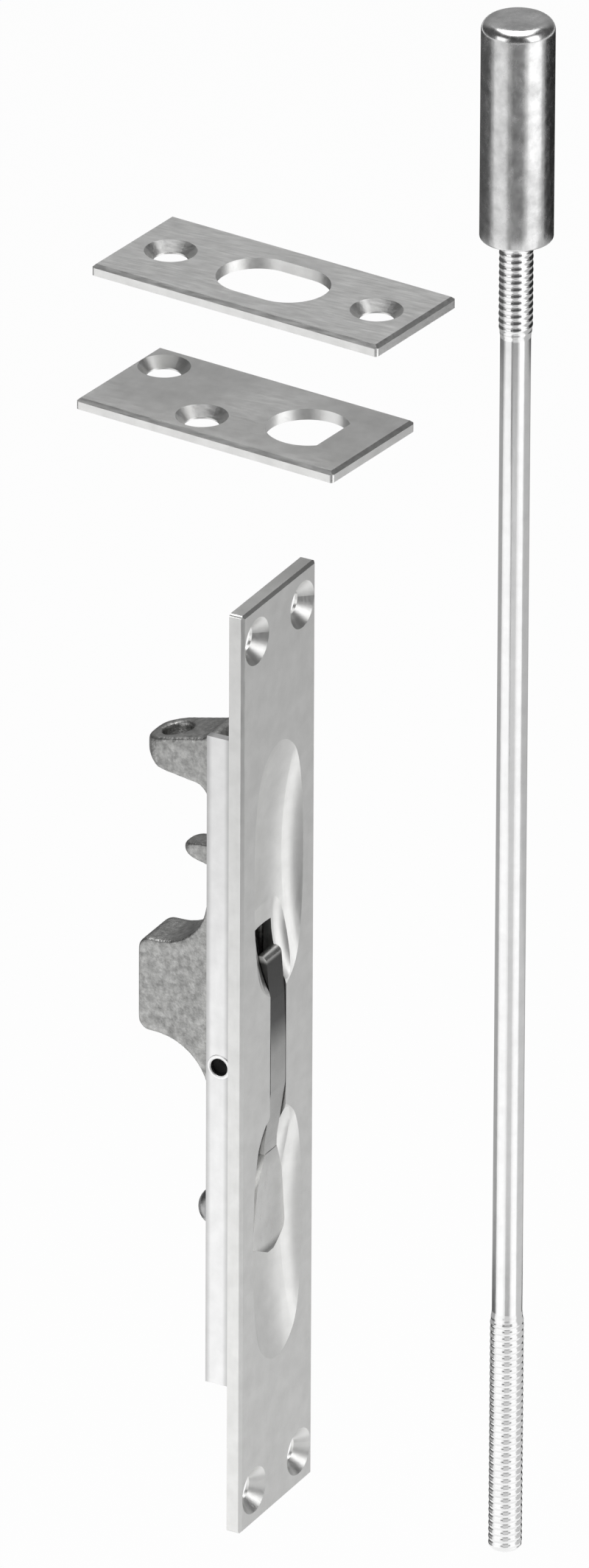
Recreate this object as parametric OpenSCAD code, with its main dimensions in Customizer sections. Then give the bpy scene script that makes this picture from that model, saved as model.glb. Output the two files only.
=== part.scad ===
// Lever extension flush bolt, shown as a set: lever body, extension rod with tip, strike and guide.
// Millimetres. X runs across the face plate, Y into the door, Z up.
// The origin is the middle of the four face plate screws, on the plate's back, which seats on the door.
// Modules measure depth from the plate's front face, and seated() moves them back to the origin.
// The loose pieces keep their working depth behind the face and are only drawn out sideways.

/* [Face plate] */
// Width of the face plate
plate_w = 25.4; // [22:0.1:32]
// Length of the face plate
plate_len = 171.45; // [166:0.05:200]
// Thickness of the face plate
plate_t = 2.7; // [2.4:0.1:3.5]
// Radius of the face plate's corners
plate_corner_r = 0.6; // [0.3:0.1:2]
// Bevel of the face plate's front edges
plate_bevel = 0.5; // [0.3:0.1:0.8]
// Spacing of the screw holes across the plate
screw_dx = 15.875; // [14:0.005:16.5]
// Spacing of the screw holes along the plate
screw_dz = 158.75; // [150:0.05:162]
// Radius of the clearance hole for a plate screw
screw_hole_r = 2.3; // [1.8:0.05:2.6]
// Radius of the countersink at the surface
countersink_r = 4.2; // [3.6:0.1:4.5]

/* [Finger scoops] */
// Height of the deepest line of a scoop above the middle
scoop_z = 34; // [32:0.5:36]
// Half length of a scoop
scoop_half = 23.5; // [22:0.5:25]
// Greatest depth of a scoop
scoop_depth = 3.3; // [3:0.1:3.6]
// Radius of a scoop's floor across its width
scoop_floor_r = 20; // [18:0.5:24]
// Angle of the floor's arc on either side of its middle
scoop_floor_angle = 16; // [14:0.5:18]
// Radius where the floor turns up into the side
scoop_side_r = 5; // [4:0.1:6]
// Height of the deepest line of the hollow under the paddle's heel
heel_z = 23.5; // [23:0.1:24]
// Half length of the heel's hollow
heel_half = 12.3; // [12:0.1:12.6]
// Greatest depth of the heel's hollow
heel_depth = 3.2; // [3.1:0.05:3.3]
// Angle of the heel hollow's floor arc on either side of its middle
heel_floor_angle = 9.5; // [9:0.1:11]
// Radius where the heel hollow's floor turns up into its side
heel_side_r = 3.3; // [3:0.1:3.6]
// Thickness of metal left under a scoop
scoop_floor_t = 1.1; // [0.8:0.1:1.5]
// Half length of the slot for the lever
slot_half = 22.9; // [21:0.1:23]

/* [Channel housing] */
// Clear width between the side walls
channel_in_w = 10.6; // [10.2:0.1:13]
// Thickness of the side walls
channel_wall = 1.5; // [1:0.1:2]
// Height of the channel's upper end
channel_top = 59.2; // [57:0.1:61]
// Height of the channel's lower end
channel_bottom = -61.7; // [-63:0.1:-58]
// Depth of the channel behind the plate
channel_depth = 7.3; // [6.5:0.1:8.5]
// Radius of the bend between web and side wall
channel_bend_r = 0.8; // [0.4:0.1:1.2]

/* [Lever] */
// Width of the lever in its slot
lever_w = 5.2; // [5:0.1:7]
// Distance of the pivot behind the face, half the lever's thickness
pivot_y = 1.95; // [1.9:0.05:2.05]
// Radius of the pivot pin
pivot_r = 1.2; // [0.9:0.05:1.3]
// Radius from the pivot to the tip of the inner arm
arm_reach = 18.3; // [17.6:0.1:18.6]
// Radius of the arm's rounded nose
nose_r = 1.15; // [1:0.05:1.3]
// Distance from the pivot to the point of the paddle
paddle_reach = 37.8; // [34:0.1:44]
// Width of the paddle
paddle_w = 11.4; // [8:0.1:13]
// Thickness of the paddle
paddle_t = 1.4; // [1:0.1:1.5]
// Crown of the paddle, lost in thickness towards each edge
paddle_crown = 0.45; // [0.3:0.05:0.6]
// Width of the neck above the paddle
neck_w = 4.2; // [3.6:0.1:5]
// Height where the paddle leaves the neck
neck_z = -19; // [-21:0.5:-17]
// Side play of the lever in the plate and the slide
lever_play = 0.2; // [0.15:0.05:0.4]
// Radial running clearance of the lever on its pin
pivot_gap = 0.04; // [0.02:0.01:0.08]

/* [Operating slide] */
// Width of the slide
slide_w = 9.8; // [9.4:0.1:10]
// Travel of the slide when the lever turns half a turn
travel = 19.05; // [16:0.05:20]
// Thickness of the slide's bar, front to back
bar_t = 6.7; // [6:0.1:8]
// Height of the upper end of the slide
slide_top = 58.2; // [56:0.1:60]
// Height of the lower end of the slide
slide_bottom = -36.5; // [-40:0.5:-36]
// Distance from the face to the bolt's axis
backset = 19.05; // [18.5:0.05:20]
// Radius of the threaded hole for the rod, at the crests of its thread
rod_hole_r = 2.6; // [2.2:0.05:3]
// Thickness of the threaded lug at its root
lug_t = 9.2; // [8:0.1:10]
// Fall of the threaded lug's top towards its end
lug_fall = 2.9; // [2:0.1:3.4]
// Height of the top of the small stub between the lugs
stub_top = 36.8; // [35:0.1:38]
// Reach of the stub behind the slide's bar
stub_reach = 6.2; // [5:0.1:7]
// Thickness of the stub at its root
stub_t = 4.4; // [3.5:0.1:5]
// Width of the stub
stub_w = 5; // [4.4:0.1:6]
// Reach of the drive lug behind the face
drive_lug_y = 24.2; // [24:0.1:27]
// Height of the top of the drive lug
drive_lug_top = 17.8; // [17:0.1:18.5]
// Height of the underside of the drive lug
drive_lug_bottom = 0.4; // [-1:0.1:0.8]
// Radius of the hollow above the drive lug
upper_fillet_r = 9.4; // [8.8:0.1:10.4]
// Radius of the hollow below the drive lug
lower_fillet_r = 10.3; // [9:0.1:11]
// Running clearance of the arm in its pocket
pocket_gap = 0.35; // [0.3:0.05:0.5]

/* [Slide guides] */
// Height of the guide rivet
rivet_z = -31.8; // [-34.5:0.1:-31]
// Radius of the cast boss that carries the guide rivet
boss_r = 2.3; // [2:0.1:2.4]
// Radius of the rivet's head
rivet_head_r = 3.4; // [3.2:0.1:4]
// Radius of the rivet's shank
rivet_r = 1.3; // [1:0.1:1.5]
// Height of the rivet's head
rivet_head_h = 2.6; // [1.8:0.1:2.8]
// Thickness of the friction washer
washer_t = 0.5; // [0.3:0.1:0.8]
// Distance of the guide studs behind the face
stud_y = 7.5; // [7.4:0.05:7.6]
// Height of the guide studs
stud_z = -1.9; // [-2.4:0.1:-1.5]
// Radius of the guide studs
stud_r = 1.6; // [1.2:0.1:1.7]

/* [Extension rod] */
// Overall length of rod and tip
rod_len = 292.1; // [200:0.1:620]
// Radius of the rod's thread
thread_r = 3.175; // [2.4:0.005:4]
// Depth of the thread
thread_depth = 0.3; // [0.2:0.05:0.5]
// Length of the lower thread
thread_lower = 46.5; // [30:0.5:60]
// Length of the upper thread, in the tip and below it
thread_upper = 32.5; // [28:0.5:36]
// Length of thread that the tip holds
thread_held = 14; // [10:0.5:18]
// Length of the bolt tip
tip_len = 40.6; // [36:0.5:50]
// Radius of the bolt tip
tip_r = 6.35; // [5:0.05:6.6]
// Radius of the tip's top edge
tip_edge_r = 2; // [0.5:0.1:3]
// Thread clearance in the bolt tip
thread_gap = 0.05; // [0.03:0.01:0.1]
// Where the loose rod stands beside the body
rod_x = 120.3; // [60:0.1:200]
// Height of the loose rod's top
rod_top_z = 137.2; // [100:0.1:200]

/* [Strike and guide plates] */
// Length of the strike plate
strike_len = 57.15; // [54:0.05:70]
// Width of the strike plate
strike_w = 23.8; // [21:0.1:32]
// Spacing of the strike plate's screw holes
strike_dx = 41.3; // [39:0.1:44]
// Length of the strike plate's bolt hole
strike_hole_len = 20.3; // [16:0.1:22]
// Width of the strike plate's bolt hole
strike_hole_w = 14.3; // [13.4:0.1:16]
// Length of the guide plate
guide_len = 51.4; // [50:0.1:64]
// Width of the guide plate
guide_w = 24.7; // [23:0.1:32]
// Radius of the guide plate's bolt hole
guide_hole_r = 7.15; // [6.8:0.05:8]
// Distance of the guide hole's flat from its centre
guide_flat = 5.1; // [5:0.1:6.4]
// Distance of the bolt hole from the guide plate's middle
guide_hole_off = 12.6; // [12:0.1:15]
// Distance of the two screw holes' centre from the guide plate's middle
guide_screw_off = 12.5; // [12:0.1:15]
// Spacing of the guide plate's screw holes across it
guide_screw_dx = 12.4; // [11:0.1:13.5]
// Spacing of the guide plate's screw holes along it
guide_screw_dy = 16; // [15:0.1:17]
// Thickness of both plates
keeper_t = 2; // [1.5:0.1:3]
// Bevel of the plates' upper edges
keeper_bevel = 0.6; // [0.3:0.1:0.9]
// Radius of the keeper plates' corners
keeper_corner_r = 0.6; // [0.3:0.1:1.5]
// Radius of the clearance hole for a keeper screw
keeper_hole_r = 3; // [2.9:0.05:3.2]
// Radius of the keeper countersinks at the surface
keeper_sink_r = 4.5; // [4:0.1:4.6]
// Turn of the loose plates, seen from above
plates_turn = -5.7; // [-15:0.1:15]
// Where the loose strike plate lies, across and up
strike_at = [32.9, 124.3]; // [-300:1:300]
// Where the loose guide plate lies, across and up
guide_at = [23.1, 104.7]; // [-300:1:300]

/* [Hidden] */
$fn = 64;
eps = 0.01;
// Press-fitted and seated surfaces stand this far apart
seat = 0.02;
// Angle of a flat-head screw's countersink
sink_angle = 82;
// Height where a scoop begins
ramp_z = heel_z - heel_half;
pad_back = scoop_depth + scoop_floor_t;
pad_half_w = channel_in_w / 2 - 0.1;
pad_start = ramp_z + 0.2;
pad_end = scoop_z + 0.7 * scoop_half;
slot_w = lever_w + 2 * lever_play;
channel_out_w = channel_in_w + 2 * channel_wall;
web_back = plate_t + channel_wall;
web_half = ramp_z;
// Strips of web that tie the side walls together beyond the pads
tie_start = pad_end + 0.4;
tie_len = 3.2;
bar_front = max(pad_back, web_back) + 0.2;
bar_back = bar_front + bar_t;
rise = travel / 180;
nose_path_r = arm_reach - nose_r;
// The slide's front window is as long as the lever's slot in both positions of the slide
window_top = slot_half + 1.1;
window_bottom = travel - window_top;
window_depth = 4.4;
cheek_in = slot_w / 2 + 0.1;
// The rod's lug starts this far below the slide's top
lug_drop = 0.5;
// The hollow below the drive lug meets the bar short of its full quarter
hollow_short = 0.6;
washer_gap = 0.1;
// How far the rivet's boss and shank start below the back of the pad
boss_root = 0.5;
head_y = bar_back + washer_t + 2 * washer_gap;
rod_bottom_z = rod_top_z - rod_len;
tip_bottom_z = rod_top_z - tip_len;
tip_bore = thread_upper + 1;

// A bar's side outline, drawn in Y and Z, given its width in X
module across(w) {
    rotate([90, 0, 90]) linear_extrude(w, center = true) children();
}

// An outline drawn in X and Z, given its thickness in Y from y0 to y1
module through(y0, y1) {
    translate([0, y1, 0]) rotate([90, 0, 0]) linear_extrude(y1 - y0) children();
}

module round_rect(w, l, r) {
    square([w - 2 * r, l], center = true);
    square([w, l - 2 * r], center = true);
    for (sx = [-1, 1], sz = [-1, 1])
        translate([sx * (w / 2 - r), sz * (l / 2 - r)]) circle(r);
}

// Clearance hole and countersink for a flat-head screw, from a surface at the origin down to -t
module screw_sink(hole_r, sink_r, t) {
    sink_h = (sink_r - hole_r) / tan(sink_angle / 2);
    translate([0, 0, -t - 1]) cylinder(r = hole_r, h = t + 2);
    translate([0, 0, -sink_h]) cylinder(r1 = hole_r, r2 = sink_r, h = sink_h);
    translate([0, 0, -eps]) cylinder(r = sink_r, h = 1);
}

// Section of a scoop or pocket in X and Y: a wide floor arc and a tighter arc up each side
module scoop_section(depth, floor_angle, side_r) {
    centre_y = depth - scoop_floor_r;
    inner = scoop_floor_r - side_r;
    half = scoop_floor_r * sin(floor_angle);
    intersection() {
        translate([0, centre_y]) circle(scoop_floor_r, $fn = 128);
        translate([-half, -1]) square([2 * half, depth + 2]);
    }
    for (s = [-1, 1]) intersection() {
        translate([s * inner * sin(floor_angle), centre_y + inner * cos(floor_angle)])
            circle(side_r, $fn = 96);
        translate([-plate_w / 2, -1]) square([plate_w, depth + 2]);
    }
}

// Radius of an arc that is h deep over the half length
function long_r(half, h) = (half * half + h * h) / (2 * h);

// A dish is turned about a far axis across the plate, so its floor is one long arc
module dish(mid_z, half, depth, floor_angle, side_r) {
    r = long_r(half, depth);
    translate([0, depth - r, mid_z]) rotate([0, 90, 0]) rotate_extrude($fn = 360)
        translate([r - depth, 0]) rotate([0, 0, -90]) scoop_section(depth, floor_angle, side_r);
}

// Long dish for the finger and a shorter one that makes room for the paddle's heel
module scoop() {
    dish(scoop_z, scoop_half, scoop_depth, scoop_floor_angle, scoop_side_r);
    dish(heel_z, heel_half, heel_depth, heel_floor_angle, heel_side_r);
}

module face_plate() {
    color([0.72, 0.72, 0.71]) difference() {
        union() {
            rotate([90, 0, 0]) bevelled_plate(plate_w, plate_len, plate_t, plate_corner_r, plate_bevel);
            for (s = [-1, 1]) translate([0, 0, s * (pad_start + pad_end) / 2])
                through(plate_t - eps, pad_back)
                    square([2 * pad_half_w, pad_end - pad_start], center = true);
            translate([0, pad_back - boss_root, rivet_z]) rotate([-90, 0, 0])
                cylinder(r = boss_r, h = bar_back + washer_gap - pad_back + boss_root);
        }
        for (sx = [-1, 1], sz = [-1, 1]) translate([sx * screw_dx / 2, 0, sz * screw_dz / 2])
            rotate([90, 0, 0]) screw_sink(screw_hole_r, countersink_r, plate_t);
        scoop();
        mirror([0, 0, 1]) scoop();
        through(-1, pad_back + 1) square([slot_w, 2 * slot_half], center = true);
        pin_seat(channel_out_w + 2 * seat);
        translate([0, 0, rivet_z]) rotate([-90, 0, 0])
            translate([0, 0, pad_back]) cylinder(r = rivet_r + seat, h = bar_back);
    }
}

// Groove for the pivot pin, open to the back of the face plate
module pin_seat(len) {
    translate([0, pivot_y, 0]) rotate([0, 90, 0]) cylinder(r = pivot_r + seat, h = len, center = true);
    translate([-len / 2, pivot_y, -pivot_r - seat])
        cube([len, plate_t - pivot_y + eps, 2 * (pivot_r + seat)]);
}

// Strip of the channel's web, from x0 to x1 and z0 to z1
module web_strip(x0, x1, z0, z1) {
    translate([x0, plate_t, z0]) cube([x1 - x0, channel_wall, z1 - z0]);
}

module channel_housing() {
    hole_len = channel_out_w + 2;
    half = channel_in_w / 2 + channel_wall / 4;
    side_x = (channel_in_w + channel_wall) / 2;
    color([0.85, 0.85, 0.85]) difference() {
        union() {
            for (s = [-1, 1]) translate([s * side_x, 0, channel_bottom])
                linear_extrude(channel_top - channel_bottom) side_wall_section(s);
            web_strip(-half, -slot_w / 2, -web_half, web_half);
            web_strip(slot_w / 2, half, -web_half, web_half);
            web_strip(-half, half, tie_start, tie_start + tie_len);
            web_strip(-half, half, -tie_start - tie_len, -tie_start);
        }
        translate([0, pivot_y, 0]) rotate([0, 90, 0])
            cylinder(r = pivot_r + seat, h = channel_out_w + 2 * seat, center = true);
        translate([0, stud_y, stud_z]) rotate([0, 90, 0])
            cylinder(r = stud_r + seat, h = hole_len, center = true);
    }
}

// Section of one side wall in X and Y, with the bend's outer radius towards the plate
module side_wall_section(side) {
    r = channel_bend_r;
    half = channel_wall / 2;
    translate([-half, plate_t + r]) square([channel_wall, channel_depth - r]);
    translate([side > 0 ? -half : r - half, plate_t]) square([channel_wall - r, r + eps]);
    translate([side * (half - r), plate_t + r]) circle(r);
}

module lever_pivot_pin() {
    color([0.6, 0.6, 0.62]) translate([0, pivot_y, 0]) rotate([0, 90, 0])
        cylinder(r = pivot_r, h = channel_out_w, center = true);
}

// Two short studs set in the side walls; they run in long slots in the slide's cheeks
module guide_studs() {
    sunk = 0.5;
    stud_out = channel_out_w / 2 - sunk;
    stud_in = cheek_in + 0.1;
    color([0.35, 0.35, 0.37]) for (s = [-1, 1])
        translate([s * (stud_out + stud_in) / 2, stud_y, stud_z]) rotate([0, 90, 0])
            cylinder(r = stud_r, h = stud_out - stud_in, center = true);
}

module guide_rivet() {
    dome_r = (rivet_head_r * rivet_head_r + rivet_head_h * rivet_head_h) / (2 * rivet_head_h);
    color([0.62, 0.62, 0.64]) translate([0, 0, rivet_z]) rotate([-90, 0, 0]) {
        translate([0, 0, pad_back + boss_root])
            cylinder(r = rivet_r, h = head_y - pad_back - boss_root + eps);
        translate([0, 0, head_y]) intersection() {
            cylinder(r = rivet_head_r, h = rivet_head_h);
            translate([0, 0, rivet_head_h - dome_r]) sphere(dome_r);
        }
    }
}

module friction_washer() {
    rim = 0.2;
    hole_play = 0.15;
    color([0.5, 0.5, 0.52]) translate([0, bar_back + washer_gap, rivet_z]) rotate([-90, 0, 0])
        difference() {
            cylinder(r = rivet_head_r + rim, h = washer_t);
            translate([0, 0, -1]) cylinder(r = boss_r + hole_play, h = washer_t + 2);
        }
}

// Outer edge of the arm's path, seen from the slide as it travels
function nose_path(a) =
    let (ty = nose_path_r * cos(a), tz = rise * 180 / PI - nose_path_r * sin(a), t = norm([ty, tz]))
    [pivot_y + nose_path_r * sin(a) - (nose_r + pocket_gap) * tz / t,
     nose_path_r * cos(a) + rise * a + (nose_r + pocket_gap) * ty / t];

module arm_pocket() {
    steps = 24;
    polygon(concat([[bar_front - 1, window_bottom + 4], [bar_front - 1, window_top - 4]],
                   [for (i = [2:steps - 2]) nose_path(180 * i / steps)]));
}

module slide_outline() {
    root_top = drive_lug_top + upper_fillet_r;
    root_bottom = drive_lug_bottom - lower_fillet_r;
    hollow_y = bar_back + lower_fillet_r - hollow_short;
    mid_z = (drive_lug_top + drive_lug_bottom) / 2;
    corner = 2.2;
    translate([bar_front, slide_bottom]) square([bar_t, slide_top - slide_bottom]);
    difference() {
        translate([bar_back - eps, mid_z]) square([upper_fillet_r + eps, root_top - mid_z]);
        translate([bar_back + upper_fillet_r, root_top]) circle(upper_fillet_r);
    }
    difference() {
        translate([bar_back - eps, root_bottom]) square([hollow_y - bar_back + eps, mid_z - root_bottom]);
        translate([hollow_y, root_bottom]) circle(lower_fillet_r);
    }
    translate([(bar_back + drive_lug_y) / 2, mid_z])
        round_rect(drive_lug_y - bar_back, drive_lug_top - drive_lug_bottom, corner);
}

// Lug standing back from the bar, w wide, with a rounded end, a falling top and a rising underside
module back_lug(top_z, t, w, reach_y, fall, root) {
    under_z = top_z - t;
    end_y = reach_y - w / 2;
    front_y = bar_back - 1;
    edge = 0.9;
    intersection() {
        across(w) polygon([[front_y, under_z - root], [bar_back, under_z - root],
                           [bar_back + root, under_z], [reach_y - 3, under_z + 0.14 * t],
                           [reach_y, under_z + 0.36 * t], [reach_y, top_z - fall - edge],
                           [reach_y - edge, top_z - fall], [front_y, top_z]]);
        union() {
            translate([0, end_y, 0]) cylinder(r = w / 2, h = 3 * slide_top, center = true);
            translate([-w / 2, front_y, -slide_top]) cube([w, end_y - front_y, 3 * slide_top]);
        }
    }
}

module operating_slide() {
    lug_reach = backset + slide_w / 2;
    slot_r = boss_r + 0.2;
    stud_slot_r = stud_r + 0.15;
    color([0.62, 0.62, 0.61]) difference() {
        union() {
            across(slide_w) slide_outline();
            back_lug(slide_top - lug_drop, lug_t, slide_w, lug_reach, lug_fall, 1.2);
            back_lug(stub_top, stub_t, stub_w, bar_back + stub_reach, 0.9, 0.6);
        }
        across(2 * cheek_in) {
            arm_pocket();
            translate([bar_front - 1, window_bottom])
                square([window_depth + 1, window_top - window_bottom]);
        }
        through(bar_front - 1, bar_back + 1) {
            translate([0, rivet_z]) circle(slot_r);
            translate([0, rivet_z + travel]) circle(slot_r);
            translate([-slot_r, rivet_z]) square([2 * slot_r, travel]);
        }
        across(slide_w + 2) {
            translate([stud_y, stud_z]) circle(stud_slot_r);
            translate([stud_y, stud_z + travel]) circle(stud_slot_r);
            translate([stud_y - stud_slot_r, stud_z]) square([2 * stud_slot_r, travel]);
            // Sloping front at the upper end
            polygon([[bar_front - 1, slide_top - 9], [bar_front, slide_top - 8],
                     [bar_back - 1.6, slide_top + eps], [bar_front - 1, slide_top + eps]]);
        }
        translate([0, backset, slide_top - 2 * lug_t]) cylinder(r = rod_hole_r, h = 3 * lug_t);
    }
}

module lever_side() {
    taper_z = 2;
    shoulder_z = 10;
    half = pivot_y;
    hub_z = -7;
    paddle_z = -17;
    shank_z = -paddle_reach + 2;
    shank_half = paddle_t / 2 - 0.1;
    shoulder = (half + nose_r + 0.4) / 2;
    end_z = arm_reach - nose_r;
    translate([pivot_y, 0]) {
        polygon([[-nose_r, end_z], [-shoulder, shoulder_z], [-half, taper_z], [-half, hub_z],
                 [-shank_half, paddle_z], [-shank_half, shank_z], [shank_half, shank_z],
                 [shank_half, paddle_z], [half, hub_z], [half, taper_z],
                 [shoulder, shoulder_z], [nose_r, end_z]]);
        translate([0, end_z]) circle(nose_r);
    }
}

module lever_bar_front() {
    tip_z = -paddle_reach + 1;
    full_z = -6;
    polygon([[-lever_w / 2, arm_reach + 1], [-lever_w / 2, full_z], [-neck_w / 2, neck_z],
             [-neck_w / 3, tip_z], [neck_w / 3, tip_z], [neck_w / 2, neck_z],
             [lever_w / 2, full_z], [lever_w / 2, arm_reach + 1]]);
}

module paddle_front() {
    wide_z = -paddle_reach + 3.4;
    half = paddle_w / 2;
    flare_z = neck_z - 5;
    flare = 0.37 * paddle_w;
    corner_z = wide_z - 1.3;
    polygon([[-neck_w / 2, neck_z], [-flare, flare_z], [-half, wide_z], [-half + 0.5, corner_z],
             [-1, -paddle_reach], [1, -paddle_reach], [half - 0.5, corner_z], [half, wide_z],
             [flare, flare_z], [neck_w / 2, neck_z]]);
}

// Paddle with both faces crowned, thin enough at its edges to clear the scoop
module paddle() {
    half = paddle_w / 2;
    crown_r = (half * half + paddle_crown * paddle_crown) / (2 * paddle_crown);
    offset_y = crown_r - paddle_t / 2;
    intersection() {
        through(0, 2 * pivot_y) paddle_front();
        translate([0, pivot_y + offset_y, -paddle_reach - 1])
            cylinder(r = crown_r, h = paddle_reach, $fn = 256);
        translate([0, pivot_y - offset_y, -paddle_reach - 1])
            cylinder(r = crown_r, h = paddle_reach, $fn = 256);
    }
}

module lever() {
    color([0.66, 0.66, 0.65]) difference() {
        union() {
            intersection() {
                across(lever_w + 1) lever_side();
                through(-1, 2 * pivot_y + 1) lever_bar_front();
            }
            paddle();
        }
        translate([0, pivot_y, 0]) rotate([0, 90, 0])
            cylinder(r = pivot_r + pivot_gap, h = lever_w + 1, center = true);
    }
}

module extension_rod() {
    chamfer = 0.8;
    core_r = thread_r - thread_depth;
    rod_end = tip_bottom_z + thread_held;
    color([0.8, 0.8, 0.8]) translate([rod_x, backset, 0]) {
        translate([0, 0, rod_bottom_z]) {
            cylinder(r1 = thread_r - chamfer, r2 = thread_r, h = chamfer);
            translate([0, 0, chamfer]) cylinder(r = thread_r, h = thread_lower - chamfer);
        }
        translate([0, 0, rod_bottom_z + thread_lower - eps])
            cylinder(r = core_r, h = rod_end - rod_bottom_z - thread_lower - thread_upper + 2 * eps);
        translate([0, 0, rod_end - thread_upper]) cylinder(r = thread_r, h = thread_upper - chamfer);
        translate([0, 0, rod_end - chamfer]) cylinder(r1 = thread_r, r2 = thread_r - chamfer, h = chamfer);
    }
}

module bolt_tip() {
    lead = 0.5;
    flat_r = tip_r - tip_edge_r;
    color([0.82, 0.82, 0.82]) translate([rod_x, backset, tip_bottom_z]) rotate_extrude() difference() {
        union() {
            translate([0, lead]) square([tip_r, tip_len - tip_edge_r - lead]);
            square([tip_r - lead, tip_len - tip_edge_r]);
            square([flat_r, tip_len]);
            intersection() {
                translate([flat_r, tip_len - tip_edge_r]) circle(tip_edge_r);
                square([tip_r, tip_len]);
            }
        }
        translate([-1, -1]) square([thread_r + thread_gap + 1, tip_bore + 1]);
    }
}

// Plate with a bevelled upper edge, its top face at the origin's height
module bevelled_plate(w, l, t, corner_r, bevel) {
    over = 1;
    difference() {
        translate([0, 0, -t]) linear_extrude(t) round_rect(w, l, corner_r);
        for (turn = [0, 180]) rotate([0, 0, turn]) {
            edge_bevel(w / 2, l + over, bevel);
            rotate([0, 0, 90]) edge_bevel(l / 2, w + over, bevel);
        }
    }
}

// Wedge that bevels the upper edge lying out_x from the middle
module edge_bevel(out_x, len, bevel) {
    over = 0.2;
    translate([out_x, 0, 0]) rotate([90, 0, 0]) linear_extrude(len, center = true)
        polygon([[-bevel - over, over], [over, -bevel - over], [over, over]]);
}

module keeper_blank(w, l) {
    bevelled_plate(w, l, keeper_t, keeper_corner_r, keeper_bevel);
}

// Places a loose plate from its place across and up, at the bolt's working depth
module loose_plate(at) {
    translate([at[0], backset, at[1]]) rotate([0, 0, plates_turn]) children();
}

module strike_plate() {
    round_r = strike_hole_w / 2;
    color([0.66, 0.66, 0.66]) loose_plate(strike_at) difference() {
        keeper_blank(strike_w, strike_len);
        translate([0, 0, -keeper_t - 1]) linear_extrude(keeper_t + 2) {
            square([strike_hole_w, strike_hole_len - 2 * round_r], center = true);
            for (s = [-1, 1]) translate([0, s * (strike_hole_len / 2 - round_r)]) circle(round_r);
        }
        for (s = [-1, 1]) translate([0, s * strike_dx / 2, 0])
            screw_sink(keeper_hole_r, keeper_sink_r, keeper_t);
    }
}

module guide_plate() {
    color([0.66, 0.66, 0.66]) loose_plate(guide_at) difference() {
        keeper_blank(guide_w, guide_len);
        translate([0, -guide_hole_off, -keeper_t - 1]) intersection() {
            cylinder(r = guide_hole_r, h = keeper_t + 2);
            translate([-guide_hole_r - 1, -guide_flat, -1])
                cube([2 * guide_hole_r + 2, guide_flat + guide_hole_r + 1, keeper_t + 4]);
        }
        for (s = [-1, 1]) translate([s * guide_screw_dx / 2, guide_screw_off + s * guide_screw_dy / 2, 0])
            screw_sink(keeper_hole_r, keeper_sink_r, keeper_t);
    }
}

// Moves a piece drawn from the plate's front face to the origin on its back
module seated() {
    translate([0, -plate_t, 0]) children();
}

seated() face_plate();
seated() channel_housing();
seated() lever_pivot_pin();
seated() guide_studs();
seated() guide_rivet();
seated() friction_washer();
seated() operating_slide();
seated() lever();
seated() extension_rod();
seated() bolt_tip();
seated() strike_plate();
seated() guide_plate();
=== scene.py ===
import math

import bpy
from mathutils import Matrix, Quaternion, Vector


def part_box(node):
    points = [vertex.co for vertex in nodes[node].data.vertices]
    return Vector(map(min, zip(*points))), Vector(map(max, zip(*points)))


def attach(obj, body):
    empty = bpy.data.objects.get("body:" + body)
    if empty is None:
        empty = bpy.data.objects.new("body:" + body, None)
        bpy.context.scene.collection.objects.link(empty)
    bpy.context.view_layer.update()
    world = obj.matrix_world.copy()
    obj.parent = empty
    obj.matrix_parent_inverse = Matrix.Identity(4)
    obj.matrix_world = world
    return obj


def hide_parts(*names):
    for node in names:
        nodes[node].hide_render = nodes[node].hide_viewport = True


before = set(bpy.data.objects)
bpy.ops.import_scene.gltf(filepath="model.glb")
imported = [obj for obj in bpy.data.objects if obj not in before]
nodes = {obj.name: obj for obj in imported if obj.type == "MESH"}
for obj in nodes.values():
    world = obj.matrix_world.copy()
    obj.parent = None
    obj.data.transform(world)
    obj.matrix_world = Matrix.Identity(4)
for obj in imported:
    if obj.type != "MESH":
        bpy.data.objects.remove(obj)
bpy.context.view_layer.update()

MM = 0.001


# Camera, in degrees and metres

CAMERA_AZIMUTH = -61.915
CAMERA_ELEVATION = 26.215
CAMERA_LEAN = 0.25
CAMERA_DISTANCE = 4.0
CAMERA_TARGET = (0.0, -0.00559, 0.05034)
CAMERA_SENSOR_MM = 36.0
CAMERA_LENS_MM = 552.84

# Floor and room

FLOOR_Z = -0.35
FLOOR_HALF = 3.0
FLOOR_GREY = 0.9
# Share of plain white that camera and reflections see on the floor
FLOOR_WHITE_SHARE = 0.96
ROOM_GREY = 0.07
# Bright parts of the room: azimuth, elevation, cosines where each begins and is full, brightness
CEILING = (0, 90, 0.8, 0.93, 0.95)
BACK_WALL = (28, 24, 0.62, 0.88, 0.25)

# Reflector cards round the rod and before the plate: from azimuth, to azimuth, grey

ROD_CENTRE = (0.1203, 0.01635)
RING_RADIUS = 0.3
TIP_RING = ((30, 118, 0.09), (118, 130, 0.35), (130, 176, 0.84), (176, 190, 0.42), (190, 228, 0.18),
            (228, 240, 0.6), (240, 286, 1.3), (286, 300, 0.4), (300, 390, 0.02))
ROD_RING = ((30, 112, 0.4), (128, 176, 1.1), (190, 228, 0.68), (240, 284, 1.1), (300, 390, 0.4))
THREAD_RING = ((30, 112, 0.1), (128, 176, 1.2), (190, 228, 0.35), (240, 284, 1.2), (300, 390, 0.01))
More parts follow.
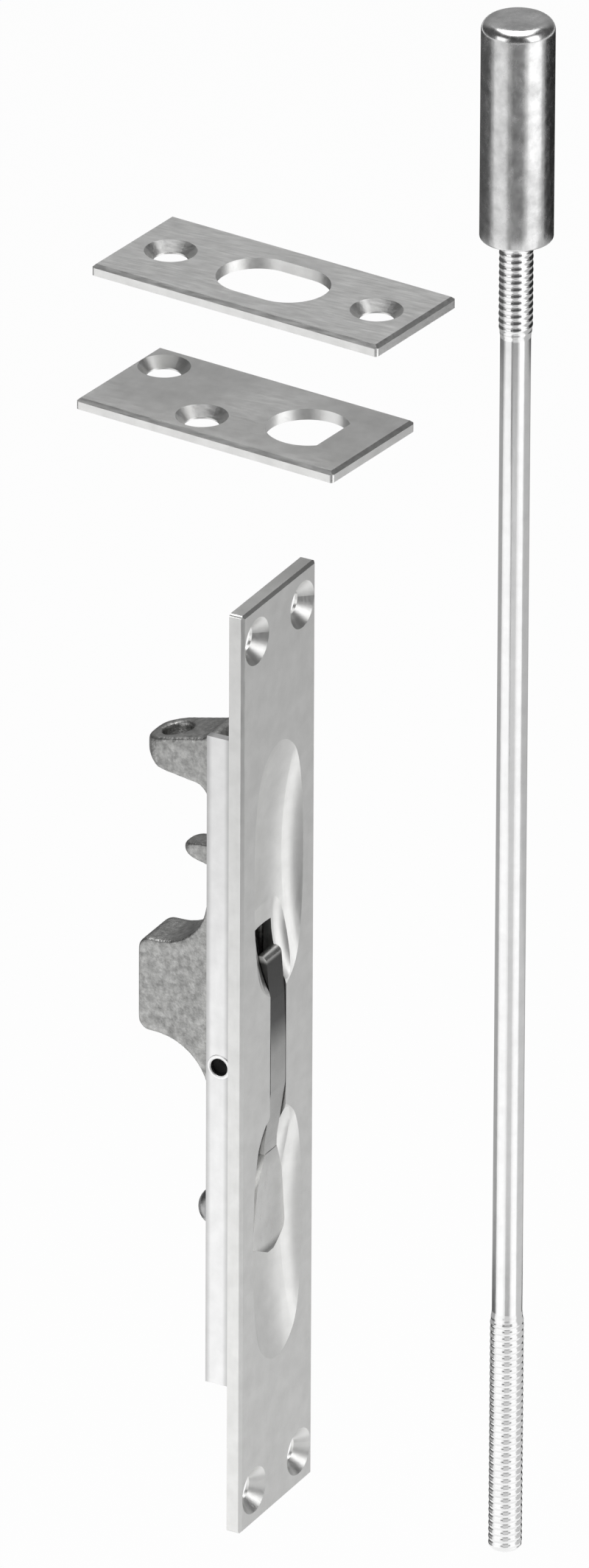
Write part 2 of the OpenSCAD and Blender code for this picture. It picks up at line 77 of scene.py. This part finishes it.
# Each ring with its lowest and highest edge
RINGS = (("tip", TIP_RING, -0.066, 0.06), ("rod", ROD_RING, -0.253, -0.066),
         ("thread", THREAD_RING, -0.349, -0.253))
PLATE_CENTRE = (0, 0)
PLATE_RADIUS = 0.25
PLATE_CARD_HIGH = (306, 358, -0.11, 0.01, 0.5)
PLATE_CARD_LOW = (306, 358, -0.24, -0.11, 0.6)
# Width in degrees of one flat facet of a card
CARD_FACET = 6

# Soft lights: name, place, target, size and watts

LIGHTS = (("key_front", (-0.1, -1.0, 0.5), (0, 0, 0.02), (0.7, 1.0), 4),
          ("fill_left", (-1.1, 0.55, 0.4), (0, 0, 0.02), (0.8, 0.8), 3),
          ("top", (0.2, 0.1, 1.1), (0.05, 0.0, 0.0), (0.9, 0.9), 6))


def link(name, data):
    obj = bpy.data.objects.new(name, data)
    bpy.context.scene.collection.objects.link(obj)
    return obj


def toward(azimuth, elevation):
    """Unit vector, with azimuth turned from +X."""
    a, e = math.radians(azimuth), math.radians(elevation)
    return math.cos(a) * math.cos(e), math.sin(a) * math.cos(e), math.sin(e)


def aim(direction):
    return direction.to_track_quat("-Z", "Y")


def add_camera():
    away = Vector(toward(CAMERA_AZIMUTH - 90, CAMERA_ELEVATION))
    data = bpy.data.cameras.new("camera")
    data.sensor_width = CAMERA_SENSOR_MM
    data.lens = CAMERA_LENS_MM
    camera = link("camera", data)
    camera.location = Vector(CAMERA_TARGET) + CAMERA_DISTANCE * away
    lean = Quaternion((0, 0, 1), math.radians(CAMERA_LEAN))
    camera.rotation_euler = (aim(-away) @ lean).to_euler()
    bpy.context.scene.camera = camera


def soft_light(name, place, target, size, watts):
    data = bpy.data.lights.new(name, "AREA")
    data.shape = "RECTANGLE"
    data.size, data.size_y = size
    data.energy = watts
    obj = link(name, data)
    obj.location = place
    obj.rotation_euler = aim(Vector(target) - Vector(place)).to_euler()


# Shader helpers

def node_tree(owner):
    owner.use_nodes = True
    return owner.node_tree.nodes, owner.node_tree.links


def feed(l, socket, value):
    """Links a value's socket, or sets a plain value."""
    if isinstance(value, bpy.types.NodeSocket):
        l.new(value, socket)
    else:
        socket.default_value = value


def calc(n, l, operation, a, b):
    step = n.new("ShaderNodeMath")
    step.operation = operation
    feed(l, step.inputs[0], a)
    feed(l, step.inputs[1], b)
    return step.outputs[0]


def map_range(n, l, value, from_low, from_high, to_low, to_high, kind="LINEAR"):
    step = n.new("ShaderNodeMapRange")
    step.interpolation_type = kind
    step.inputs["From Min"].default_value = from_low
    step.inputs["From Max"].default_value = from_high
    step.inputs["To Min"].default_value = to_low
    step.inputs["To Max"].default_value = to_high
    l.new(value, step.inputs["Value"])
    return step.outputs[0]


def own_place(n):
    """Coordinates in the piece's own frame."""
    return n.new("ShaderNodeTexCoord").outputs["Object"]


def emission(n, value):
    glow = n.new("ShaderNodeEmission")
    glow.inputs["Color"].default_value = (value, value, value, 1)
    glow.inputs["Strength"].default_value = 1.0
    return glow.outputs[0]


# Stage

def stage_mesh(name, verts, faces, material):
    mesh = bpy.data.meshes.new(name)
    mesh.from_pydata(verts, [], faces)
    mesh.materials.append(material)
    obj = link(name, mesh)
    return obj


def floor_material():
    """White to camera and reflections, pale and shadowed to everything else."""
    m = bpy.data.materials.new("floor_white")
    n, l = node_tree(m)
    n.clear()
    out = n.new("ShaderNodeOutputMaterial")
    mix = n.new("ShaderNodeMixShader")
    diffuse = n.new("ShaderNodeBsdfDiffuse")
    diffuse.inputs["Color"].default_value = (FLOOR_GREY, FLOOR_GREY, FLOOR_GREY, 1)
    path = n.new("ShaderNodeLightPath").outputs
    seen = calc(n, l, "MAXIMUM", path["Is Camera Ray"], path["Is Glossy Ray"])
    l.new(calc(n, l, "MULTIPLY", seen, FLOOR_WHITE_SHARE), mix.inputs[0])
    l.new(diffuse.outputs[0], mix.inputs[1])
    l.new(emission(n, 1), mix.inputs[2])
    l.new(mix.outputs[0], out.inputs[0])
    return m


def card_material(name, value):
    """One even grey, whatever light falls on the card."""
    m = bpy.data.materials.new(name)
    n, l = node_tree(m)
    n.clear()
    out = n.new("ShaderNodeOutputMaterial")
    l.new(emission(n, value), out.inputs[0])
    return m


def reflector(name, centre, radius, start, end, low, high, value):
    """An upright curved card about a centre, from one azimuth to another, seen in reflections only."""
    steps = max(2, int((end - start) / CARD_FACET))
    verts = []
    for i in range(steps + 1):
        a = math.radians(start + (end - start) * i / steps)
        x, y = centre[0] + radius * math.cos(a), centre[1] + radius * math.sin(a)
        verts += [(x, y, low), (x, y, high)]
    faces = [(i, i + 2, i + 3, i + 1) for i in range(0, 2 * steps, 2)]
    obj = stage_mesh(name, verts, faces, card_material(name, value))
    obj.visible_camera = False
    obj.visible_diffuse = False
    obj.visible_shadow = False


def build_world():
    """A dim room with a bright ceiling and a grey wall behind, and white where the camera looks."""
    world = bpy.data.worlds.new("studio")
    bpy.context.scene.world = world
    n, l = node_tree(world)
    back = n["Background"]
    place = n.new("ShaderNodeTexCoord").outputs["Generated"]
    total = ROOM_GREY
    for azimuth, elevation, begin, full, level in (CEILING, BACK_WALL):
        cosine = n.new("ShaderNodeVectorMath")
        cosine.operation = "DOT_PRODUCT"
        cosine.inputs[1].default_value = toward(azimuth, elevation)
        l.new(place, cosine.inputs[0])
        bright = map_range(n, l, cosine.outputs["Value"], begin, full, 0.0, level, "SMOOTHSTEP")
        total = calc(n, l, "ADD", bright, total)
    pick = n.new("ShaderNodeMix")
    pick.data_type = "RGBA"
    pick.inputs["B"].default_value = (1, 1, 1, 1)
    l.new(n.new("ShaderNodeLightPath").outputs["Is Camera Ray"], pick.inputs["Factor"])
    l.new(total, pick.inputs["A"])
    l.new(pick.outputs["Result"], back.inputs["Color"])
    back.inputs["Strength"].default_value = 1.0


def build_stage():
    h = FLOOR_HALF
    corners = [(-h, -h, FLOOR_Z), (h, -h, FLOOR_Z), (h, h, FLOOR_Z), (-h, h, FLOOR_Z)]
    stage_mesh("floor", corners, [(0, 1, 2, 3)], floor_material())
    build_world()
    for label, ring, low, high in RINGS:
        for i, (start, end, value) in enumerate(ring):
            reflector("%s_card_%d" % (label, i), ROD_CENTRE, RING_RADIUS, start, end, low, high, value)
    reflector("plate_card_high", PLATE_CENTRE, PLATE_RADIUS, *PLATE_CARD_HIGH)
    reflector("plate_card_low", PLATE_CENTRE, PLATE_RADIUS, *PLATE_CARD_LOW)
    for light in LIGHTS:
        soft_light(*light)


# Materials

# Middle part of a noise's values, which spans the whole range of tone or roughness
NOISE_SPAN = (0.3, 0.7)
NOISE_ROUGHNESS = 0.55
TONE_DETAIL = 5.0
GRAIN_DETAIL = 3.0

# Grain and mottle are noise scales in 1/m on each axis, depth is the relief's height in metres
METALS = {
    "plate": dict(name="satin_plate", dark=(0.72, 0.72, 0.71), light=(0.8, 0.8, 0.79),
                  rough=(0.28, 0.42), grain=(9000, 2500, 260), bump=0.25, depth=0.00002),
    "channel": dict(name="bright_channel", dark=(0.8, 0.8, 0.8), light=(0.88, 0.88, 0.88),
                    rough=(0.28, 0.38), grain=(900, 900, 120), bump=0.15, depth=0.00003),
    "pin": dict(name="pin_steel", dark=(0.3, 0.3, 0.31), light=(0.42, 0.42, 0.43),
                rough=(0.3, 0.45), grain=(2500, 2500, 2500), bump=0.2, depth=0.00003),
    # The studs' near-black colour is painted shade, standing in for the dark inside the recessed stud holes
    "stud": dict(name="stud_black_painted_shade", dark=(0.012, 0.012, 0.012), light=(0.03, 0.03, 0.03),
                 rough=(0.5, 0.65), grain=(2500, 2500, 2500), bump=0.2, depth=0.00003),
    "rivet": dict(name="rivet_steel", dark=(0.36, 0.36, 0.36), light=(0.5, 0.5, 0.5),
                  rough=(0.22, 0.34), grain=(2500, 2500, 2500), bump=0.2, depth=0.00003),
    "cast": dict(name="cast_metal", dark=(0.27, 0.27, 0.265), light=(0.54, 0.54, 0.53),
                 rough=(0.32, 0.46), grain=(2600, 2600, 2600), bump=0.9, depth=0.00012,
                 mottle=(900, 900, 900)),
    "lever": dict(name="lever_metal", dark=(0.68, 0.68, 0.67), light=(0.78, 0.78, 0.77),
                  rough=(0.26, 0.38), grain=(2500, 2500, 400), bump=0.25, depth=0.00003),
    "rod": dict(name="plated_rod", dark=(0.84, 0.84, 0.84), light=(0.92, 0.92, 0.92),
                rough=(0.14, 0.22), grain=(2500, 2500, 300), bump=0.12, depth=0.00002),
    "tip": dict(name="turned_tip", dark=(0.58, 0.58, 0.58), light=(0.92, 0.92, 0.92),
                rough=(0.18, 0.3), grain=(900, 900, 500), bump=0.3, depth=0.00003),
    # The rim's shape is real; its colour, brighter than the channel metal it is pressed from, is a painted
    # highlight
    "rim": dict(name="rim_painted_highlight", dark=(0.93, 0.93, 0.93), light=(0.97, 0.97, 0.97),
                rough=(0.3, 0.4), grain=(2500, 2500, 2500), bump=0.1, depth=0.00002),
    "keeper": dict(name="keeper_plate", dark=(0.82, 0.82, 0.81), light=(0.94, 0.94, 0.93),
                   rough=(0.28, 0.4), grain=(2500, 260, 2500), bump=0.3, depth=0.00003),
}

# Painted shade on the channel's side walls: depths in metres of the walls' front and back edge, width of
# the fade, share of colour kept at an edge
CHANNEL_PAINTED_SHADE = (0.0031, 0.0073, 0.0011, 0.66)
# Painted shade on the lever: height in mm and share of the colour that the lever keeps there, dark on the
# upper arm inside the slot and in a painted shadow line round the paddle's point
LEVER_PAINTED_SHADES = ((-40, 0.9), (-37.2, 0.35), (-35.8, 0.98), (-22, 1.0), (-17, 0.78), (-4, 0.7),
                (0, 0.62), (6, 0.15), (17, 0.1), (17.8, 1.0))
LEVER_SPAN = (-40, 25)

NODE_METALS = (("face_plate", "plate"), ("channel_housing", "channel"), ("lever_pivot_pin", "pin"),
               ("guide_studs", "stud"), ("guide_rivet", "rivet"), ("friction_washer", "pin"),
               ("operating_slide", "cast"), ("lever", "lever"), ("extension_rod", "rod"),
               ("bolt_tip", "tip"), ("strike_plate", "keeper"), ("guide_plate", "keeper"))


def stretched_noise(n, l, scale, detail):
    """Noise in the piece's own coordinates, with a scale of its own on each axis."""
    mapping = n.new("ShaderNodeMapping")
    mapping.inputs["Scale"].default_value = scale
    noise = n.new("ShaderNodeTexNoise")
    noise.inputs["Scale"].default_value = 1.0
    noise.inputs["Detail"].default_value = detail
    noise.inputs["Roughness"].default_value = NOISE_ROUGHNESS
    l.new(own_place(n), mapping.inputs["Vector"])
    l.new(mapping.outputs[0], noise.inputs["Vector"])
    return noise.outputs["Fac"]


def colour_ramp(n, l, value, stops):
    ramp = n.new("ShaderNodeValToRGB")
    elements = ramp.color_ramp.elements
    while len(elements) < len(stops):
        elements.new(0.5)
    for element, (place, colour) in zip(elements, stops):
        element.position = place
        element.color = (*colour, 1)
    l.new(value, ramp.inputs[0])
    return ramp.outputs["Color"]


def metal(name, dark, light, rough, grain, bump, depth, mottle=(300, 300, 300)):
    """Metal with a mottled tone, a directional grain in its roughness and a fine bump."""
    m = bpy.data.materials.new(name)
    n, l = node_tree(m)
    shader = n["Principled BSDF"]
    shader.inputs["Metallic"].default_value = 1.0
    tone = stretched_noise(n, l, mottle, TONE_DETAIL)
    l.new(colour_ramp(n, l, tone, tuple(zip(NOISE_SPAN, (dark, light)))), shader.inputs["Base Color"])
    fine = stretched_noise(n, l, grain, GRAIN_DETAIL)
    l.new(map_range(n, l, fine, *NOISE_SPAN, *rough), shader.inputs["Roughness"])
    relief = n.new("ShaderNodeBump")
    relief.inputs["Strength"].default_value = bump
    relief.inputs["Distance"].default_value = depth
    l.new(fine, relief.inputs["Height"])
    l.new(relief.outputs[0], shader.inputs["Normal"])
    return m


def paint_shade_along_axis(m, axis, share_along):
    """Paints shade into a metal's colour, scaling it by a share that changes along one of the piece's own
    axes.
    """
    n, l = node_tree(m)
    base = n["Principled BSDF"].inputs["Base Color"]
    colour = base.links[0].from_socket
    split = n.new("ShaderNodeSeparateXYZ")
    l.new(own_place(n), split.inputs[0])
    scale = n.new("ShaderNodeVectorMath")
    scale.operation = "MULTIPLY"
    l.new(colour, scale.inputs[0])
    l.new(share_along(n, l, split.outputs[axis]), scale.inputs[1])
    l.new(scale.outputs[0], base)


def channel_painted_shade(n, l, depth):
    """Painted shade: less colour toward the front and back edges of the side walls, for the shade along the
    joint with the plate and at the rounded back edge.
    """
    inner, outer, fade, share = CHANNEL_PAINTED_SHADE
    rise = map_range(n, l, depth, inner, inner + fade, 0.0, 1.0 - share, "SMOOTHSTEP")
    fall = map_range(n, l, depth, outer - fade, outer, 0.0, 1.0 - share, "SMOOTHSTEP")
    return calc(n, l, "ADD", calc(n, l, "SUBTRACT", rise, fall), share)


def lever_painted_shade(n, l, height):
    """Painted shade: dark upper arm inside the slot, painted shadow line round the paddle's point."""
    low, high = LEVER_SPAN
    along = map_range(n, l, height, low * MM, high * MM, 0.0, 1.0)
    stops = [((z - low) / (high - low), (share, share, share)) for z, share in LEVER_PAINTED_SHADES]
    return colour_ramp(n, l, along, stops)


def make_materials():
    made = {key: metal(**values) for key, values in METALS.items()}
    # Painted shade on the channel: side walls darker toward their front and back edges
    paint_shade_along_axis(made["channel"], "Y", channel_painted_shade)
    # Painted shade and shadow on the lever, by height in its own frame
    paint_shade_along_axis(made["lever"], "Z", lever_painted_shade)
    return made


# Pieces built in mesh code, in mm

ROD_AXIS = (120.3, 16.35)
ROD_BOTTOM = -154.9
ROD_TOP = 137.2
TIP_LEN = 40.6
TIP_BOTTOM = ROD_TOP - TIP_LEN
TIP_R = 6.35
TIP_TOP_EDGE_R = 2.0
TIP_LOWER_EDGE_R = 0.5
# Rings on the top edge, the side and the lower edge
TIP_TOP_STEPS = 12
TIP_SIDE_STEPS = 20
TIP_LOWER_STEPS = 4
# Mouth of the tip's bore and the flat round it: radius and height above the tip's lower end
TIP_MOUTH = ((3.4, 3), (3.35, 0.35), (3.6, 0), (5.8, 0), (5.85, 0.02))
TIP_SEGMENTS = 96
# Shares of the flat top's radius where it is ringed
TIP_TOP_RINGS = (0.97, 0.66, 0.33)

PITCH = 1.27
CREST_R = 2.95
ROOT_R = 2.85
CORE_R = 2.65
# Parts of the pitch, from the crest's middle, where the root begins and over which a flank rises
ROOT_SHARE = 0.75
FLANK_SHARE = 0.625
# Length over which a thread runs out in the plain rod
RUN_OUT = 1.6 * PITCH
ROD_END_R = 1.2
ROD_END = TIP_BOTTOM + 14.0
LOWER_THREAD_END = ROD_BOTTOM + 46.5
UPPER_THREAD_START = ROD_END - 32.5
RINGS_PER_PITCH = 12
PLAIN_RINGS = 24
# How far the thread's close rings, then the plain part, reach past and stop short of a thread's end
THREAD_PAST = 0.5
PLAIN_SHORT = 0.6
ROD_SEGMENTS = 48

# Section of the pressed rim: distance from the stud's radius, height above the wall
RIM_SECTION = ((-0.02, 0.0), (0.0, 0.12), (0.5, 0.12), (0.62, 0.06), (0.68, -0.05))
RIM_SEGMENTS = 40

# Voxel in metres, strength and rounds of the smoothing that softens the casting's edges
CAST_VOXEL = 0.0003
CAST_SOFTNESS = 0.5
CAST_ROUNDS = 32


def band_faces(count, segments, looped=False):
    """Quads between neighbouring rings of points; looped joins the last ring to the first."""
    faces = []
    for i in range(count if looped else count - 1):
        a, b = i * segments, (i + 1) % count * segments
        for j in range(segments):
            k = (j + 1) % segments
            faces.append((a + j, a + k, b + k, b + j))
    return faces


def smooth_piece(name, verts, faces, flat=0):
    """A smooth-shaded piece whose last faces, as many as flat says, stay flat."""
    mesh = bpy.data.meshes.new(name)
    mesh.from_pydata(verts, [], faces)
    smooth = [True] * (len(faces) - flat) + [False] * flat
    mesh.polygons.foreach_set("use_smooth", smooth)
    mesh.update()
    return link(name, mesh)


def lathe(name, rings, segments):
    """A closed surface of revolution about the rod's axis; rings are (radius or its function, z)."""
    verts = []
    for radius, z in rings:
        for j in range(segments):
            t = 2 * math.pi * j / segments
            r = radius(t, z) if callable(radius) else radius
            x, y = ROD_AXIS[0] + r * math.cos(t), ROD_AXIS[1] + r * math.sin(t)
            verts.append((x * MM, y * MM, z * MM))
    faces = band_faces(len(rings), segments)
    faces.append(tuple(reversed(range(segments))))
    faces.append(tuple(range((len(rings) - 1) * segments, len(rings) * segments)))
    return smooth_piece(name, verts, faces, flat=2)


def quarter(steps, first=0):
    """Cosine and sine at even steps of a quarter turn."""
    for i in range(first, steps + 1):
        a = math.radians(90 * i / steps)
        yield math.cos(a), math.sin(a)


def thread_radius(t, z):
    """Radius of a right-hand thread at angle t and height z."""
    u = ((z - PITCH * t / (2 * math.pi)) / PITCH) % 1.0
    off = abs(u - 0.5) * 2
    height = min(max((ROOT_SHARE - off) / FLANK_SHARE, 0.0), 1.0)
    return ROOT_R + (CREST_R - ROOT_R) * height


def rod_radius(t, z):
    """Thread at both ends, plain core between, both ends rounded."""
    into_thread = max(LOWER_THREAD_END - z, z - UPPER_THREAD_START, 0.0)
    share = min(into_thread / RUN_OUT, 1.0)
    r = CORE_R + share * (thread_radius(t, z) - CORE_R)
    end_gap = min(z - ROD_BOTTOM, ROD_END - z)
    if end_gap < ROD_END_R:
        drop = ROD_END_R ** 2 - (ROD_END_R - end_gap) ** 2
        r = min(r, CREST_R - ROD_END_R + math.sqrt(max(drop, 0.0)))
    return r


def thread_heights(start, end):
    z, heights = start, []
    while z < end:
        heights.append(z)
        z += PITCH / RINGS_PER_PITCH
    return heights


def build_rod():
    start, end = LOWER_THREAD_END + PLAIN_SHORT, UPPER_THREAD_START - PLAIN_SHORT
    heights = thread_heights(ROD_BOTTOM, LOWER_THREAD_END + THREAD_PAST)
    heights += [start + (end - start) * i / PLAIN_RINGS for i in range(PLAIN_RINGS + 1)]
    heights += thread_heights(UPPER_THREAD_START - THREAD_PAST, ROD_END) + [ROD_END]
    return lathe("rod_threaded", [(rod_radius, z) for z in heights], ROD_SEGMENTS)


def build_tip():
    lower, top, r = TIP_LOWER_EDGE_R, TIP_TOP_EDGE_R, TIP_R
    rings = [(mouth_r, TIP_BOTTOM + rise) for mouth_r, rise in TIP_MOUTH]
    rings += [(r - lower + lower * s, TIP_BOTTOM + lower - lower * c)
              for c, s in quarter(TIP_LOWER_STEPS, first=1)]
    side = TIP_LEN - lower - top
    rings += [(r, TIP_BOTTOM + lower + side * i / TIP_SIDE_STEPS) for i in range(1, TIP_SIDE_STEPS)]
    rings += [(r - top + top * c, ROD_TOP - top + top * s) for c, s in quarter(TIP_TOP_STEPS)]
    rings += [((r - top) * share, ROD_TOP) for share in TIP_TOP_RINGS]
    return lathe("tip_turned", rings, TIP_SEGMENTS)


def build_stud_ring(name, side):
    """The pressed rim round a guide stud's hole in a side wall of the channel."""
    low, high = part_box("guide_studs")
    middle = (low + high) / (2 * MM)
    r = (high.z - low.z) / (2 * MM)
    wall_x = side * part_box("channel_housing")[1].x / MM
    verts = []
    for out, rise in RIM_SECTION:
        for j in range(RIM_SEGMENTS):
            t = 2 * math.pi * j / RIM_SEGMENTS
            y, z = middle.y + (r + out) * math.cos(t), middle.z + (r + out) * math.sin(t)
            verts.append(((wall_x + side * rise) * MM, y * MM, z * MM))
    faces = band_faces(len(RIM_SECTION), RIM_SEGMENTS, looped=True)
    if side > 0:
        faces = [tuple(reversed(face)) for face in faces]
    return smooth_piece(name, verts, faces)


def rounded_copy(node, name):
    """A copy of a CAD solid with every edge softened, as casting leaves it."""
    mesh = nodes[node].data.copy()
    mesh.materials.clear()
    obj = link(name, mesh)
    bpy.context.view_layer.objects.active = obj
    remesh = obj.modifiers.new("remesh", "REMESH")
    remesh.mode = "VOXEL"
    remesh.voxel_size = CAST_VOXEL
    soften = obj.modifiers.new("soften", "SMOOTH")
    soften.factor = CAST_SOFTNESS
    soften.iterations = CAST_ROUNDS
    graph = bpy.context.evaluated_depsgraph_get()
    shaped = bpy.data.meshes.new_from_object(obj.evaluated_get(graph))
    obj.modifiers.clear()
    obj.data = shaped
    shaped.polygons.foreach_set("use_smooth", [True] * len(shaped.polygons))
    return obj


def dress(obj, mat, body, slot, *replaced):
    obj.data.materials.clear()
    obj.data.materials.append(mat)
    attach(obj, body)
    if replaced:
        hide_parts(*replaced)


add_camera()
build_stage()
mats = make_materials()
for node, key in NODE_METALS:
    slots = nodes[node].material_slots
    if not slots:
        nodes[node].data.materials.append(mats[key])
    for s in slots:
        s.material = mats[key]

dress(build_rod(), mats["rod"], "rod", "plated_rod", "extension_rod")
dress(build_tip(), mats["tip"], "tip", "turned_tip", "bolt_tip")
dress(rounded_copy("operating_slide", "slide_cast"), mats["cast"], "slide", "cast_metal", "operating_slide")
# Pressed rims round the stud holes, coloured with a painted highlight
for side, label in ((-1, "left"), (1, "right")):
    dress(build_stud_ring("stud_rim_" + label, side), mats["rim"], "housing", "bright_channel")

scene = bpy.context.scene
scene.view_settings.view_transform = "Standard"
